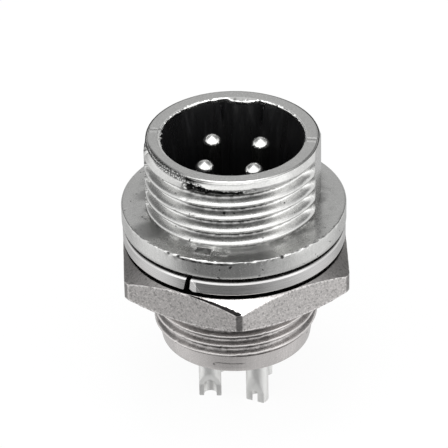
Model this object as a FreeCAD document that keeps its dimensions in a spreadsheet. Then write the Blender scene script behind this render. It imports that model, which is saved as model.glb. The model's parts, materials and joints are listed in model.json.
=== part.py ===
import FreeCAD, Part
import math
import os
import re
import Sketcher
from FreeCAD import Vector

# A four-pin panel plug with a threaded coupling collar, a split lock washer and a hex nut.
# Lengths are in millimetres and angles in degrees. The origin is the centre of the flange's
# underside, where the panel sits, and +Z points out of the mating end.

doc = FreeCAD.newDocument("panel_plug")

# Driving sizes
SIZES = [
    ("flange_overhang", 0.05, "round flange that stops on the panel, past the nut's flats"),
    ("flange_thickness", 1.33, "flange, from the panel to its front face"),
    ("flange_edge_break", 0.10, "small bevel on both flange edges"),
    ("collar_radius", 5.93, "crest of the coupling thread"),
    ("collar_height", 5.07, "collar, from the flange's front face to the rim"),
    ("rim_bevel", 0.15, "bevel round the rim's outer edge"),
    ("collar_wall", 1.13, "least wall from the bore to the coupling thread's crest"),
    ("rear_wall", 0.78, "least wall from the bore to the panel thread's crest"),
    ("coupling_pitch", 1.00, "rise of the coupling thread in one turn"),
    ("coupling_start", 0.515, "lowest groove centre above the flange's front face"),
    ("coupling_top_land", 0.555, "last groove centre below the rim"),
    ("groove_depth_share", 0.52, "groove depth of both threads, in pitches"),
    ("groove_floor_share", 0.18, "flat floor of both thread grooves, in pitches"),
    ("flank_angle", 30.0, "lean of a thread's flanks"),
    ("strip_inset", 0.23, "flats where the mould parts, below the thread crest"),
    ("rear_radius", 5.58, "crest of the panel thread"),
    ("rear_pitch", 0.75, "rise of the panel thread in one turn"),
    ("rear_thread_length", 7.85, "panel thread, from the flange's underside to its end"),
    ("rear_lead_in", 0.25, "bevel at the panel thread's end"),
    ("rear_run_out", 0.30, "first groove centre past the panel thread's end"),
    ("relief_width", 0.80, "plain neck between the panel thread and the flange"),
    ("relief_extra_depth", 0.05, "neck below the panel thread's groove floor"),
    ("tail_length", 1.37, "plain band behind the panel thread"),
    ("tail_step", 0.28, "plain band where the thread ends, below the thread's crest"),
    ("tail_taper", 0.18, "how much the plain band narrows to its rear end"),
    ("tail_round", 0.12, "rounded rear edge of the shell"),
    ("lip_thickness", 0.80, "inturned lip that carries the insulator"),
    ("lip_reach", 0.60, "inturned lip, in from the bore"),
    ("key_round_radius", 1.70, "round of the polarising key"),
    ("key_depth", 0.45, "key, into the bore"),
    ("key_length", 4.60, "key, down from the rim"),
    ("fit_gap", 0.02, "gap at each fitted face"),
    ("lining_wall", 0.45, "wall of the insulator's cup"),
    ("lining_drop", 0.25, "edge of the insulator's cup below the rim"),
    ("cavity_depth", 7.60, "from the rim to the cup's floor"),
    ("pin_radius", 0.62, "contact pin"),
    ("pin_circle_radius", 2.32, "circle that the pins stand on"),
    ("pin_first_angle", 45.0, "first pin, from +X"),
    ("pin_tip_drop", 1.11, "pin tip below the rim"),
    ("cup_radius", 0.77, "solder cup, outside"),
    ("cup_wall", 0.32, "solder cup's wall"),
    ("rear_face_inset", 0.10, "insulator's rear face, inside the shell's end"),
    ("cup_length", 4.76, "solder cup, from the insulator to its open end"),
    ("cup_bore_depth", 2.60, "blind bore of the solder cup"),
    ("mouth_length", 0.95, "straight length of cup that is cut open on one side"),
    ("mouth_offset", 0.12, "cut face of the mouth, out from the cup's axis"),
    ("mouth_slope", 63.0, "lean of the cut where it runs out to the barrel"),
    ("shallow_mouth_length", 0.80, "straight length of the fourth cup's shallower cut"),
    ("shallow_mouth_offset", 0.41, "cut face of the shallower cut, out from the cup's axis"),
    ("shallow_mouth_slope", 75.0, "lean of the shallower cut where it runs out"),
    ("mouth_one", 50.0, "direction of the first cup's mouth, from +X"),
    ("mouth_two", 130.0, "direction of the second cup's mouth"),
    ("mouth_three", -85.0, "direction of the third cup's mouth"),
    ("mouth_four", -106.0, "direction of the fourth cup's mouth"),
    ("washer_bore_gap", 0.16, "from the panel thread's crest out to the split washer"),
    ("washer_thickness", 0.98, "split washer"),
    ("washer_edge_break", 0.08, "small bevel on the washer's outer edges"),
    ("washer_gap", 0.33, "from the flange's underside down to the washer"),
    ("split_width", 0.30, "slot through the washer"),
    ("split_slant", -13.0, "lean of the washer's slot"),
    ("split_angle", -106.0, "washer's slot, from +X"),
    ("nut_wall", 1.92, "hex nut, from the panel thread's crest out to a flat"),
    ("nut_thickness", 2.38, "hex nut"),
    ("nut_gap", 0.31, "from the washer down to the nut"),
    ("nut_face_inset", 0.05, "round edge of both faces, in from the flats"),
    ("nut_bevel_angle", 27.0, "lean of the corner bevels"),
    ("nut_turn", 40.3, "first corner, from +X"),
    ("nut_thread_gap", 0.06, "gap between the nut's thread and the shell's"),
    ("nut_thread_height", 0.22, "nut's thread ridges, into the shell's grooves"),
    ("nut_lead_in", 0.30, "bevel at both ends of the nut's bore"),
]
NAMES = [alias for alias, size, meaning in SIZES]

sheet = doc.addObject("Spreadsheet::Sheet", "Sizes")
for row, (alias, size, meaning) in enumerate(SIZES, start=1):
    sheet.set(f"A{row}", meaning)
    sheet.set(f"B{row}", str(size))
    sheet.setAlias(f"B{row}", alias)
doc.recompute()


def formula(text):
    """The text as an expression, with each size's name pointing at its cell."""
    return re.sub("[a-z_]+", lambda word: point_at_cell(word.group()), text)


def point_at_cell(word):
    return f"<<Sizes>>.{word}" if word in NAMES else word


def number(text):
    """What a formula comes to, in millimetres or degrees."""
    worked_out = sheet.evalExpression(formula(text))
    return float(getattr(worked_out, "Value", worked_out))


def bind(thing, path, text):
    thing.setExpression(path, formula(text))


# Heights and radii that several pieces share
RIM = "(flange_thickness + collar_height)"
SHELL_END = "(-rear_thread_length - tail_length)"
SEAT = f"({SHELL_END} + lip_thickness)"
CAVITY_FLOOR = f"({RIM} - cavity_depth)"
BORE = "min(collar_radius - collar_wall; rear_radius - rear_wall)"
LIP_OPENING = f"({BORE} - lip_reach)"
INSULATOR_RADIUS = f"({BORE} - fit_gap)"
KEY_CENTRE = f"({BORE} + key_round_radius - key_depth)"
REAR_DEPTH = "(rear_pitch * groove_depth_share)"
REAR_START = "(-rear_thread_length - rear_run_out)"
WASHER_TOP = "(-washer_gap)"
NUT_TOP = "(-washer_gap - washer_thickness - nut_gap)"
FLATS = "(rear_radius + nut_wall)"
HEX_CORNER = f"({FLATS} / cos(30))"
FLANGE_RADIUS = f"({FLATS} + flange_overhang)"
# How far a cut runs past the metal, and how far a thread's cut does, in pitches
CLEAR = "1"
THREAD_CLEAR = "0.05"
# How many turns the nut's thread is cut for, above and below its faces together
NUT_TURNS_PAST = "3"


def origin_plane(body, role):
    return next(feature for feature in body.Origin.OriginFeatures if feature.Role == role)


def new_body(label):
    body = doc.addObject("PartDesign::Body", label)
    body.Label = label
    return body


def new_sketch(body, name, role):
    sketch = body.newObject("Sketcher::SketchObject", name)
    sketch.AttachmentSupport = [(origin_plane(body, role), "")]
    sketch.MapMode = "FlatFace"
    return sketch


def hold(sketch, kind, name, geometry, text):
    """One constraint on the listed lines and points, with its size bound to a formula."""
    sketch.addConstraint(Sketcher.Constraint(kind, *geometry, number(text)))
    sketch.renameConstraint(sketch.ConstraintCount - 1, name)
    bind(sketch, f"Constraints.{name}", text)


def outline(body, name, role, corners):
    """A closed outline of straight sides, with both coordinates of each corner as formulas."""
    sketch = new_sketch(body, name, role)
    places = [Vector(number(across), number(up), 0) for across, up in corners]
    for side, start in enumerate(places):
        sketch.addGeometry(Part.LineSegment(start, places[(side + 1) % len(places)]))
    for side in range(len(places)):
        following = (side + 1) % len(places)
        sketch.addConstraint(Sketcher.Constraint("Coincident", side, 2, following, 1))
    for side, (across, up) in enumerate(corners):
        hold(sketch, "DistanceX", f"across_{side}", (-1, 1, side, 1), across)
        hold(sketch, "DistanceY", f"up_{side}", (-1, 1, side, 1), up)
    return sketch


def ring(body, name, radius, across="0", up="0"):
    """A circle on the XY plane, with its radius and its centre as formulas."""
    sketch = new_sketch(body, name, "XY_Plane")
    centre = Vector(number(across), number(up), 0)
    sketch.addGeometry(Part.Circle(centre, Vector(0, 0, 1), number(radius)))
    hold(sketch, "Radius", "radius", (0,), radius)
    hold(sketch, "DistanceX", "centre_across", (-1, 1, 0, 3), across)
    hold(sketch, "DistanceY", "centre_up", (-1, 1, 0, 3), up)
    return sketch


def volume(body):
    return 0 if body.Shape.isNull() else body.Shape.Volume


def turned(body, name, corners, kind="PartDesign::Revolution"):
    """A turned form, or with a Groove a turned cut, from half of its section."""
    section = outline(body, f"{name}_section", "XZ_Plane", corners)
    feature = body.newObject(kind, name)
    feature.Profile = (section, [""])
    feature.ReferenceAxis = (section, ["V_Axis"])
    feature.Angle = 360
    doc.recompute()
    return feature


def turned_cut(body, name, corners):
    before = body.Shape.Volume
    feature = turned(body, name, corners, "PartDesign::Groove")
    if not body.Shape.Volume < before:
        raise RuntimeError(f"{name} cuts nothing")
    return feature


def pushed(body, name, sketch, start, end, kind="PartDesign::Pad"):
    """A pad, or with a Pocket a cut, between two distances from the sketch's plane."""
    before = volume(body)
    bind(sketch, "AttachmentOffset.Base.z", start)
    feature = body.newObject(kind, name)
    feature.Profile = (sketch, [""])
    feature.Type = 0
    feature.Reversed = kind == "PartDesign::Pocket"
    bind(feature, "Length", f"{end} - ({start})")
    doc.recompute()
    if (volume(body) > before) != (kind == "PartDesign::Pad"):
        raise RuntimeError(f"{name} has no effect")
    return feature


def pocket(body, name, sketch, start, end):
    return pushed(body, name, sketch, start, end, "PartDesign::Pocket")


def thread_cut(body, name, section_corners, pitch, height):
    """A right-hand helical groove. Its section lies on the XZ plane and climbs from there."""
    before = body.Shape.Volume
    section = outline(body, f"{name}_section", "XZ_Plane", section_corners)
    feature = body.newObject("PartDesign::SubtractiveHelix", name)
    feature.Profile = (section, [""])
    feature.ReferenceAxis = (section, ["V_Axis"])
    feature.Mode = 0
    bind(feature, "Pitch", pitch)
    bind(feature, "Height", height)
    doc.recompute()
    if not body.Shape.Volume < before:
        raise RuntimeError(f"{name} cuts nothing")
    return feature


def outside_groove(side, crest, pitch, centre):
    """Section of a groove cut into a shaft, on the +X side (side 1) or the -X side (side -1)."""
    floor_half = f"{pitch} * groove_floor_share / 2"
    depth = f"{pitch} * groove_depth_share"
    past = f"{pitch} * {THREAD_CLEAR}"
    mouth_half = f"({floor_half} + ({depth} + {past}) * tan(flank_angle))"
    inner = f"{side} * ({crest} - {depth})"
    outer = f"{side} * ({crest} + {past})"
    return [
        (inner, f"{centre} - {floor_half}"),
        (outer, f"{centre} - {mouth_half}"),
        (outer, f"{centre} + {mouth_half}"),
        (inner, f"{centre} + {floor_half}"),
    ]


def segment(body, name, radius, centre_up, chord_up):
    """The part of a circle below a level chord. The circle stands centred over the origin."""
    sketch = new_sketch(body, name, "XY_Plane")
    size, middle, level = number(radius), number(centre_up), number(chord_up)
    rise = math.asin((level - middle) / size)
    circle = Part.Circle(Vector(0, middle, 0), Vector(0, 0, 1), size)
    sketch.addGeometry(Part.ArcOfCircle(circle, math.pi - rise, 2 * math.pi + rise))
    half = size * math.cos(rise)
    sketch.addGeometry(Part.LineSegment(Vector(half, level, 0), Vector(-half, level, 0)))
    sketch.addConstraint(Sketcher.Constraint("Coincident", 0, 2, 1, 1))
    sketch.addConstraint(Sketcher.Constraint("Coincident", 1, 2, 0, 1))
    sketch.addConstraint(Sketcher.Constraint("Horizontal", 1))
    hold(sketch, "Radius", "radius", (0,), radius)
    hold(sketch, "DistanceX", "centre_across", (-1, 1, 0, 3), "0")
    hold(sketch, "DistanceY", "centre_up", (-1, 1, 0, 3), centre_up)
    hold(sketch, "DistanceY", "chord_up", (-1, 1, 1, 1), chord_up)
    return sketch


def rim_edge(shape, radius, height):
    """The name of the round edge about Z with this radius at this height."""
    def off(edge):
        if not isinstance(edge.Curve, Part.Circle):
            return math.inf
        return abs(edge.Curve.Radius - radius) + abs(edge.Curve.Center.z - height)
    nearest = min(range(len(shape.Edges)), key=lambda place: off(shape.Edges[place]))
    return f"Edge{nearest + 1}"


# Shell: one casting, plated
shell = new_body("shell")
REAR_FLOOR = f"(rear_radius - {REAR_DEPTH})"
TAIL_END = "(rear_radius - tail_step - tail_taper)"
blank = turned(shell, "shell_blank", [
    (BORE, SEAT),
    (LIP_OPENING, SEAT),
    (LIP_OPENING, SHELL_END),
    (TAIL_END, SHELL_END),
    ("rear_radius - tail_step", "-rear_thread_length"),
    ("rear_radius", "-rear_thread_length + rear_lead_in"),
    ("rear_radius", "-relief_width"),
    (f"{REAR_FLOOR} - relief_extra_depth", f"-relief_width + {REAR_DEPTH}"),
    (f"{REAR_FLOOR} - relief_extra_depth", "0"),
    (f"{FLANGE_RADIUS} - flange_edge_break", "0"),
    (FLANGE_RADIUS, "flange_edge_break"),
    (FLANGE_RADIUS, "flange_thickness - flange_edge_break"),
    (f"{FLANGE_RADIUS} - flange_edge_break", "flange_thickness"),
    ("collar_radius", "flange_thickness"),
    ("collar_radius", f"{RIM} - rim_bevel"),
    ("collar_radius - rim_bevel", RIM),
    (BORE, RIM),
])
tail_round = shell.newObject("PartDesign::Fillet", "tail_round")
tail_end = rim_edge(blank.Shape, number(TAIL_END), number(SHELL_END))
tail_round.Base = (blank, [tail_end])
bind(tail_round, "Radius", "tail_round")
doc.recompute()

# The key stands inwards from the bore, at +Y
key_section = segment(shell, "key_section", "key_round_radius", KEY_CENTRE,
                      f"({BORE} + collar_radius) / 2")
pushed(shell, "key", key_section, f"{RIM} - key_length", RIM)

# Both threads start at -X, the coupling thread in one of the flats where the mould parts
COUPLING_START = "(flange_thickness + coupling_start)"
thread_cut(shell, "coupling_thread",
           outside_groove(-1, "collar_radius", "coupling_pitch", COUPLING_START),
           "coupling_pitch", f"{RIM} - coupling_top_land - {COUPLING_START}")
thread_cut(shell, "panel_thread",
           outside_groove(-1, "rear_radius", "rear_pitch", REAR_START),
           "rear_pitch", f"-relief_width / 2 - {REAR_START}")

# The flats cross the coupling thread at both sides, with the grooves closed behind them
FLAT = "(collar_radius - strip_inset)"
FLAT_HALF = f"sqrt(collar_radius ^ 2 - {FLAT} ^ 2)"
COUPLING_FLOOR = "(collar_radius - coupling_pitch * groove_depth_share)"
STRIP_ROOT = f"(({BORE} + {COUPLING_FLOOR}) / 2)"
for side, end in ((1, "right"), (-1, "left")):
    off_cut = outline(shell, f"{end}_flat_section", "XY_Plane", [
        (f"{side} * {FLAT}", "-collar_radius"),
        (f"{side} * (collar_radius + {CLEAR})", "-collar_radius"),
        (f"{side} * (collar_radius + {CLEAR})", "collar_radius"),
        (f"{side} * {FLAT}", "collar_radius"),
    ])
    pocket(shell, f"{end}_flat", off_cut, "flange_thickness", f"{RIM} + {CLEAR}")
    strip = outline(shell, f"{end}_strip_section", "XY_Plane", [
        (f"{side} * {STRIP_ROOT}", f"-{FLAT_HALF}"),
        (f"{side} * {FLAT}", f"-{FLAT_HALF}"),
        (f"{side} * {FLAT}", FLAT_HALF),
        (f"{side} * {STRIP_ROOT}", FLAT_HALF),
    ])
    pushed(shell, f"{end}_strip", strip, "flange_thickness", RIM)

# Insulator: one moulding, a cup that lines the bore and a thick floor that holds the pins
insulator = new_body("insulator")
LINING_RADIUS = f"({INSULATOR_RADIUS} - lining_wall)"
LINING_TOP = f"({RIM} - lining_drop)"
REAR_FACE = f"({SHELL_END} + rear_face_inset)"
turned(insulator, "insulator_blank", [
    ("0", CAVITY_FLOOR),
    (LINING_RADIUS, CAVITY_FLOOR),
    (LINING_RADIUS, LINING_TOP),
    (INSULATOR_RADIUS, LINING_TOP),
    (INSULATOR_RADIUS, SEAT),
    (f"{LIP_OPENING} - fit_gap", SEAT),
    (f"{LIP_OPENING} - fit_gap", REAR_FACE),
    ("0", REAR_FACE),
])
rib_section = segment(insulator, "rib_section", "key_round_radius + lining_wall",
                      KEY_CENTRE, f"{BORE} - lining_wall")
pushed(insulator, "rib", rib_section, CAVITY_FLOOR, LINING_TOP)
keyway_section = ring(insulator, "keyway_section", "key_round_radius + fit_gap",
                      up=KEY_CENTRE)
pocket(insulator, "keyway", keyway_section, f"{RIM} - key_length - fit_gap",
       f"{RIM} + {CLEAR}")

PINS = ("one", "two", "three", "four")
PIN_STEP = 360 / len(PINS)
PIN_PLACES = [
    (f"pin_circle_radius * cos(pin_first_angle + {PIN_STEP * place})",
     f"pin_circle_radius * sin(pin_first_angle + {PIN_STEP * place})")
    for place in range(len(PINS))
]
for which, (across, up) in zip(PINS, PIN_PLACES):
    hole = ring(insulator, f"hole_{which}_section", "pin_radius + fit_gap", across, up)
    pocket(insulator, f"hole_{which}", hole, f"{REAR_FACE} - {CLEAR}",
           f"{CAVITY_FLOOR} + {CLEAR}")


# Contact pins: turned in one piece, with a domed tip and a solder cup cut open at one side
CUP_END = f"({REAR_FACE} - cup_length)"
CUP_BORE = "(cup_radius - cup_wall)"
TIP_CENTRE = f"({RIM} - pin_tip_drop - pin_radius)"
SLOPE_REACH = f"(cup_radius + {CLEAR})"


def contact(which, across, up, cut="mouth"):
    """One contact on its own axis, with its cup's mouth towards -Y, then set in its place."""
    slope_top = (f"({CUP_END} + {cut}_length"
                 f" + ({SLOPE_REACH} - {cut}_offset) * tan({cut}_slope))")
    body = new_body(f"contact_{which}")
    turned(body, f"bar_{which}", [
        ("0", CUP_END),
        ("cup_radius", CUP_END),
        ("cup_radius", REAR_FACE),
        ("pin_radius", REAR_FACE),
        ("pin_radius", TIP_CENTRE),
        ("0", TIP_CENTRE),
    ])
    tip = body.newObject("PartDesign::AdditiveSphere", f"tip_{which}")
    tip.AttachmentSupport = [(origin_plane(body, "XY_Plane"), "")]
    tip.MapMode = "FlatFace"
    bind(tip, "Radius", "pin_radius")
    bind(tip, "AttachmentOffset.Base.z", TIP_CENTRE)
    doc.recompute()
    turned_cut(body, f"cup_bore_{which}", [
        ("0", f"{CUP_END} - {CLEAR}"),
        (CUP_BORE, f"{CUP_END} - {CLEAR}"),
        (CUP_BORE, f"{CUP_END} + cup_bore_depth"),
        ("0", f"{CUP_END} + cup_bore_depth + {CUP_BORE} / 2"),
    ])
    mouth = outline(body, f"mouth_{which}_section", "YZ_Plane", [
        (f"-{cut}_offset", f"{CUP_END} - {CLEAR}"),
        (f"-{cut}_offset", f"{CUP_END} + {cut}_length"),
        (f"-{SLOPE_REACH}", slope_top),
        (f"-{SLOPE_REACH}", f"{CUP_END} - {CLEAR}"),
    ])
    pocket(body, f"mouth_{which}", mouth, f"-cup_radius - {CLEAR}",
           f"cup_radius + {CLEAR}")
    bind(body, "Placement.Base.x", across)
    bind(body, "Placement.Base.y", up)
    bind(body, "Placement.Rotation.Angle", f"mouth_{which} + 90")
    return body


# The fourth cup is cut less deep than the others
CUTS = ("mouth", "mouth", "mouth", "shallow_mouth")
contacts = []
for place, (which, (across, up), cut) in enumerate(zip(PINS, PIN_PLACES, CUTS), start=1):
    contacts.append(contact(which, across, up, cut))
    contacts[-1].Label = f"contact_pin_{place}"

# Lock washer: one split ring of sprung steel, with its top face on its own XY plane
washer = new_body("lock_washer")
WASHER_INSIDE = "(rear_radius + washer_bore_gap)"
turned(washer, "washer_blank", [
    (WASHER_INSIDE, "-washer_thickness"),
    (f"{FLATS} - washer_edge_break", "-washer_thickness"),
    (FLATS, "-washer_thickness + washer_edge_break"),
    (FLATS, "-washer_edge_break"),
    (f"{FLATS} - washer_edge_break", "0"),
    (WASHER_INSIDE, "0"),
])
SLANT = "tan(split_slant)"
slot = outline(washer, "split_section", "YZ_Plane", [
    (f"-split_width / 2 + (washer_thickness + {CLEAR}) * {SLANT}",
     f"-washer_thickness - {CLEAR}"),
    (f"split_width / 2 + (washer_thickness + {CLEAR}) * {SLANT}",
     f"-washer_thickness - {CLEAR}"),
    (f"split_width / 2 - {CLEAR} * {SLANT}", CLEAR),
    (f"-split_width / 2 - {CLEAR} * {SLANT}", CLEAR),
])
pocket(washer, "split", slot, f"{WASHER_INSIDE} - {CLEAR}", f"{FLATS} + {CLEAR}")
bind(washer, "Placement.Base.z", WASHER_TOP)
bind(washer, "Placement.Rotation.Angle", "split_angle")

# Hex nut: one casting, with its top face on its own XY plane
nut = new_body("hex_nut")
hexagon = outline(nut, "hexagon", "XY_Plane", [
    (f"{HEX_CORNER} * cos({60 * corner})", f"{HEX_CORNER} * sin({60 * corner})")
    for corner in range(6)
])
pushed(nut, "nut_blank", hexagon, "-nut_thickness", "0")
FACE_EDGE = f"({FLATS} - nut_face_inset)"
BEVEL_REACH = f"({HEX_CORNER} + {CLEAR})"
BEVEL_DROP = f"(({BEVEL_REACH} - {FACE_EDGE}) * tan(nut_bevel_angle))"
turned_cut(nut, "front_bevel", [
    (FACE_EDGE, "0"),
    (BEVEL_REACH, f"-{BEVEL_DROP}"),
    (BEVEL_REACH, CLEAR),
    (FACE_EDGE, CLEAR),
])
turned_cut(nut, "rear_bevel", [
    (FACE_EDGE, "-nut_thickness"),
    (BEVEL_REACH, f"-nut_thickness + {BEVEL_DROP}"),
    (BEVEL_REACH, f"-nut_thickness - {CLEAR}"),
    (FACE_EDGE, f"-nut_thickness - {CLEAR}"),
])
NUT_BORE = "(rear_radius - nut_thread_height)"
turned_cut(nut, "nut_bore", [
    ("0", CLEAR),
    (f"{NUT_BORE} + nut_lead_in + {CLEAR}", CLEAR),
    (NUT_BORE, "-nut_lead_in"),
    (NUT_BORE, "-nut_thickness + nut_lead_in"),
    (f"{NUT_BORE} + nut_lead_in + {CLEAR}", f"-nut_thickness - {CLEAR}"),
    ("0", f"-nut_thickness - {CLEAR}"),
])

# The nut's grooves clear the shell's ridges all round, at rest and as it turns. Half a
# turn separates the shell's first groove, at -X, from the ridge at +X, where nut_turn
# counts from, and half a pitch separates a groove from a ridge, so the two cancel out.
CREST_HALF = (f"(rear_pitch * (1 - groove_floor_share) / 2"
              f" - {REAR_DEPTH} * tan(flank_angle))")
SIDE_GAP = "nut_thread_gap / cos(flank_angle)"
PAST_BORE = f"rear_pitch * {THREAD_CLEAR}"
GROOVE_DEEP_HALF = f"({CREST_HALF} - nut_thread_gap * tan(flank_angle) + {SIDE_GAP})"
GROOVE_OPEN_HALF = (f"({CREST_HALF} + (nut_thread_height + {PAST_BORE})"
                    f" * tan(flank_angle) + {SIDE_GAP})")
RIDGE_OVER_NUT_END = (f"({REAR_START} + rear_pitch * nut_turn / 360"
                      f" - {NUT_TOP} + nut_thickness)")
NUT_GROOVE_START = (f"(-nut_thickness - rear_pitch"
                    f" + mod({RIDGE_OVER_NUT_END}; rear_pitch))")
thread_cut(nut, "nut_thread", [
    (f"{NUT_BORE} - {PAST_BORE}", f"{NUT_GROOVE_START} - {GROOVE_OPEN_HALF}"),
    ("rear_radius + nut_thread_gap", f"{NUT_GROOVE_START} - {GROOVE_DEEP_HALF}"),
    ("rear_radius + nut_thread_gap", f"{NUT_GROOVE_START} + {GROOVE_DEEP_HALF}"),
    (f"{NUT_BORE} - {PAST_BORE}", f"{NUT_GROOVE_START} + {GROOVE_OPEN_HALF}"),
], "rear_pitch", f"nut_thickness + {NUT_TURNS_PAST} * rear_pitch")
bind(nut, "Placement.Base.z", NUT_TOP)
bind(nut, "Placement.Rotation.Angle", "nut_turn")

doc.recompute()

# Every object and every piece is checked before any file is written
pieces = [shell, insulator, *contacts, washer, nut]
for thing in doc.Objects:
    if "Invalid" in thing.State or "Error" in thing.State:
        raise RuntimeError(f"{thing.Name} failed: {thing.State}")
for piece in pieces:
    if piece.Shape.isNull() or not piece.Shape.isValid():
        raise RuntimeError(f"{piece.Label} has no valid shape")
    if len(piece.Shape.Solids) != 1:
        raise RuntimeError(f"{piece.Label} is {len(piece.Shape.Solids)} solids")

os.makedirs("parts", exist_ok=True)
for piece in pieces:
    piece.Shape.exportStep(f"parts/{piece.Label}.step")
    print(f"{piece.Label}: {piece.Shape.Volume:.2f} mm3")
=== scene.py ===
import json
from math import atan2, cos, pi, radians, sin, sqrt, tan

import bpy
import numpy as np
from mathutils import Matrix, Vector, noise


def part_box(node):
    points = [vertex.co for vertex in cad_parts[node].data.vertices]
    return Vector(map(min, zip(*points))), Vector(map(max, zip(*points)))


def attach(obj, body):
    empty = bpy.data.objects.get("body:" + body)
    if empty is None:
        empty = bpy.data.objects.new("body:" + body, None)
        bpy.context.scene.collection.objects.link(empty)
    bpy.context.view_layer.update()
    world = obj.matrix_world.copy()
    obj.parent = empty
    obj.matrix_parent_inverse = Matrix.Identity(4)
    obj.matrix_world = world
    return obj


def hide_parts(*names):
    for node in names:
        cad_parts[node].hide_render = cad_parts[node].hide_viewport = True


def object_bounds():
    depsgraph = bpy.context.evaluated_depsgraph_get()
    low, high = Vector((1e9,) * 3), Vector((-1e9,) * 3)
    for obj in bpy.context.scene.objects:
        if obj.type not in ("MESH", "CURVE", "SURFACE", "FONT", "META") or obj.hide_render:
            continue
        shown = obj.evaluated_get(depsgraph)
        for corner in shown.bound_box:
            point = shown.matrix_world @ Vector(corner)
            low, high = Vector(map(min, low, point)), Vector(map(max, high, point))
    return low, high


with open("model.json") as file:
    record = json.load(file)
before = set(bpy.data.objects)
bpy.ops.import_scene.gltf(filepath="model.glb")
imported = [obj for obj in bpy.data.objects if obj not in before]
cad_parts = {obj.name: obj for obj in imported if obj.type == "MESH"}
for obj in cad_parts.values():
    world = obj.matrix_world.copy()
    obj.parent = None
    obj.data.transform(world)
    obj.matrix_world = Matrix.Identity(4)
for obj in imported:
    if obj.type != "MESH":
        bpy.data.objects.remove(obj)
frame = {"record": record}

# %% [markdown]
# # A four-pin panel plug
#
# The plug is a nickel-plated casting with a threaded collar, a flange and a threaded rear. It
# holds a black insulator with four contacts, and a split washer and a hex nut clamp it to a
# panel. The CAD nodes give the sizes and the places, and each piece here stands for one node
# with softer and more worn forms. All lengths are in metres, so a size that is easier to think
# of in millimetres is multiplied by MM.

MM = 0.001
TINY = 1e-6
cad_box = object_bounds()
print("CAD box, mm:", [[round(side / MM, 2) for side in corner] for corner in cad_box])

# %% [markdown]
# ## Sizes from the frame
#
# Every main size is read from the CAD nodes' boxes or from the record's mounts, so that the
# pieces made here follow the CAD model when it changes. What only a worn or cast surface has,
# such as the depth of a pit, gets its own value where it is first needed.

# %% Main sizes
mounts = {mount["name"]: mount for mount in frame["record"]["mounts"]}
shell_low, shell_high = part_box("shell")
washer_low, washer_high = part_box("lock_washer")
nut_low, nut_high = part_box("hex_nut")
insulator_low, insulator_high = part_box("insulator")

RIM = shell_high.z
SHELL_END = shell_low.z
FLANGE_RADIUS = (shell_high.x - shell_low.x) / 2
COLLAR_RADIUS = mounts["coupling_thread"]["dims"]["r_mm"] * MM
REAR_RADIUS = mounts["rear_thread"]["dims"]["r_mm"] * MM
LINING_RADIUS = mounts["mating_cavity"]["dims"]["r_mm"] * MM
WASHER_RADIUS = (washer_high.x - washer_low.x) / 2
INSULATOR_RADIUS = (insulator_high.x - insulator_low.x) / 2
BORE = INSULATOR_RADIUS + 0.02 * MM
print(f"rim {RIM / MM:.2f}, flange {FLANGE_RADIUS / MM:.2f}, bore {BORE / MM:.2f} mm")

# %% [markdown]
# ## Camera and light
#
# The plug is seen from a little right of its front and from about 34 degrees above, through a
# long lens, as small parts are photographed. Metal shows what stands round it, so the light is
# a tent painted on the world: bright panels above and at both sides, a plain back wall, and a
# dark zone low in front, where the camera stands. The camera itself sees plain white.

# %% Camera
CAMERA_AZIMUTH = radians(8.8)
CAMERA_HEIGHT = radians(33.5)
CAMERA_ROLL = radians(-1.15)
CAMERA_DISTANCE = 200 * MM
LENS = 239.2
IMAGE_SIDE = 448
ORIGIN_PIXEL = (234, 216.0)


def level_direction(angle):
    """The level direction at this angle from +X."""
    return (cos(angle), sin(angle), 0)


def out_from_centre(azimuth, height):
    """The direction from the plug to a place at this azimuth and height, as the camera's is."""
    level = cos(height)
    return Vector((sin(azimuth) * level, -cos(azimuth) * level, sin(height)))


def quiet():
    """Object mode with nothing selected, so that the next operator acts on its own piece."""
    if bpy.context.object and bpy.context.object.mode != "OBJECT":
        bpy.ops.object.mode_set(mode="OBJECT")
    bpy.ops.object.select_all(action="DESELECT")


def pick(piece):
    """Only this piece selected and active."""
    quiet()
    piece.select_set(True)
    bpy.context.view_layer.objects.active = piece


quiet()
towards_camera = out_from_centre(CAMERA_AZIMUTH, CAMERA_HEIGHT)
bpy.ops.object.camera_add(location=towards_camera * CAMERA_DISTANCE)
camera = bpy.context.object
camera.name = "camera"
facing = (-towards_camera).to_track_quat("-Z", "Y")
camera.rotation_euler = facing.to_euler()
camera.rotation_euler.rotate_axis("Z", CAMERA_ROLL)
camera.data.lens = LENS
camera.data.shift_x = (IMAGE_SIDE / 2 - ORIGIN_PIXEL[0]) / IMAGE_SIDE
camera.data.shift_y = (ORIGIN_PIXEL[1] - IMAGE_SIDE / 2) / IMAGE_SIDE
camera.data.clip_start = 10 * MM
camera.data.clip_end = 2000 * MM
bpy.context.scene.camera = camera
bpy.context.scene.view_settings.view_transform = "Standard"
print("camera at, mm:", [round(part / MM, 1) for part in camera.location])

# %% [markdown]
# ### Shader sums
#
# A finish is mostly arithmetic on noise and on places. The class Wire wraps one socket, so that
# a mask can be written as a plain sum, and each sum adds its Math node. Desk adds every other
# node: its settings first, then the values or links of its sockets.

# %% Wires and the desk that joins them
class Wire:
    """One output socket, which takes part in sums."""

    def __init__(self, desk, socket):
        self.desk = desk
        self.socket = socket

    def sum(self, operation, *others):
        return self.desk.maths(operation, self, *others)

    def __add__(self, other):
        return self.sum("ADD", other)

    __radd__ = __add__

    def __sub__(self, other):
        return self.sum("SUBTRACT", other)

    def __rsub__(self, other):
        return self.desk.maths("SUBTRACT", other, self)

    def __mul__(self, other):
        return self.sum("MULTIPLY", other)

    __rmul__ = __mul__

    def __truediv__(self, other):
        return self.sum("DIVIDE", other)

    def __abs__(self):
        return self.sum("ABSOLUTE")


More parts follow.
